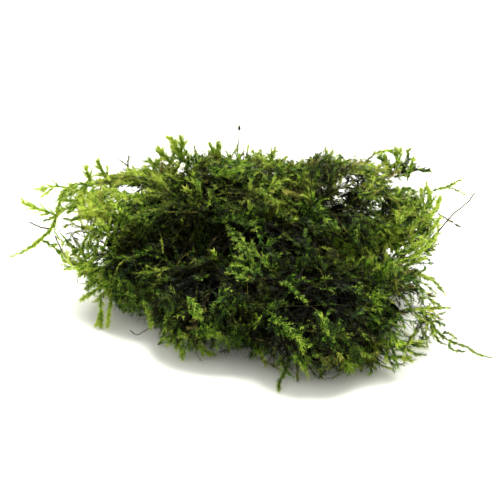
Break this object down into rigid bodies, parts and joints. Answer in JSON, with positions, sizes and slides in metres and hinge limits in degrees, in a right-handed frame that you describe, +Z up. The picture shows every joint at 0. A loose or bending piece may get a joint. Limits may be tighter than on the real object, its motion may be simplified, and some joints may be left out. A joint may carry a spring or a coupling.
{
  "type": "loose clump of peacock moss",
  "caption": "Low, two-tiered clump of tangled feathery moss shoots, with stray fronds at its edges, lying loose on a flat surface.",
  "frame": {"origin": "middle of the flattened underside, on the surface that the clump lies on", "axes": "+Z up, +X along the clump's length with the trailing shoot at its +X end, front towards -Y"},
  "size_m": [0.1081, 0.0873, 0.0385],
  "materials": {
    "leafy_moss": "damp leafy shoots, soft sheen, lime at the edges and deep green inside",
    "old_tangle": "dull brown-green tangle of old stems",
    "bare_stem": "thin dry brown stems, dull"
  },
  "bodies": {
    "root": {"upper_mat_left": "leafy_moss", "upper_mat_middle": "leafy_moss", "upper_mat_right": "leafy_moss", "front_tuft_middle": "leafy_moss", "front_tuft_right": "leafy_moss", "front_tuft_left": "leafy_moss", "middle_tuft": "leafy_moss", "low_right_tuft": "leafy_moss", "right_tuft": "leafy_moss", "left_tuft": "leafy_moss", "back_tuft_left": "leafy_moss", "back_tuft_right": "leafy_moss", "base_mat": "old_tangle", "left_arching_shoot": "leafy_moss", "left_upper_frond": "leafy_moss", "left_middle_frond": "leafy_moss", "left_twig": "bare_stem", "left_inner_frond": "leafy_moss", "left_crossing_stem": "bare_stem", "left_lower_frond": "leafy_moss", "left_bent_stem": "bare_stem", "lower_left_frond": "leafy_moss", "hanging_frond_left": "leafy_moss", "hanging_frond_middle": "leafy_moss", "hanging_frond_right": "leafy_moss", "bent_hair_stem": "bare_stem", "right_bare_stem": "bare_stem", "right_fine_frond": "leafy_moss", "right_brown_frond": "leafy_moss", "right_upper_frond": "leafy_moss", "trailing_shoot": "leafy_moss", "right_low_frond_front": "leafy_moss", "right_low_frond_middle": "leafy_moss", "right_low_frond_back": "leafy_moss", "right_ground_frond_back": "leafy_moss", "right_ground_frond_middle": "leafy_moss", "right_ground_frond_front": "leafy_moss", "front_trailing_frond": "leafy_moss", "front_frond_left": "leafy_moss", "front_frond_right": "leafy_moss", "front_left_frond_back": "leafy_moss", "front_left_frond_front": "leafy_moss", "top_left_frond_outer": "leafy_moss", "top_left_frond_inner": "leafy_moss", "top_frond_first": "leafy_moss", "top_frond_second": "leafy_moss", "top_frond_third": "leafy_moss", "top_frond_fourth": "leafy_moss", "capsule_stalk": "bare_stem", "top_arch_frond": "leafy_moss", "top_frond_fifth": "leafy_moss", "top_frond_sixth": "leafy_moss", "top_dark_frond": "leafy_moss"}
  },
  "joints": []
}
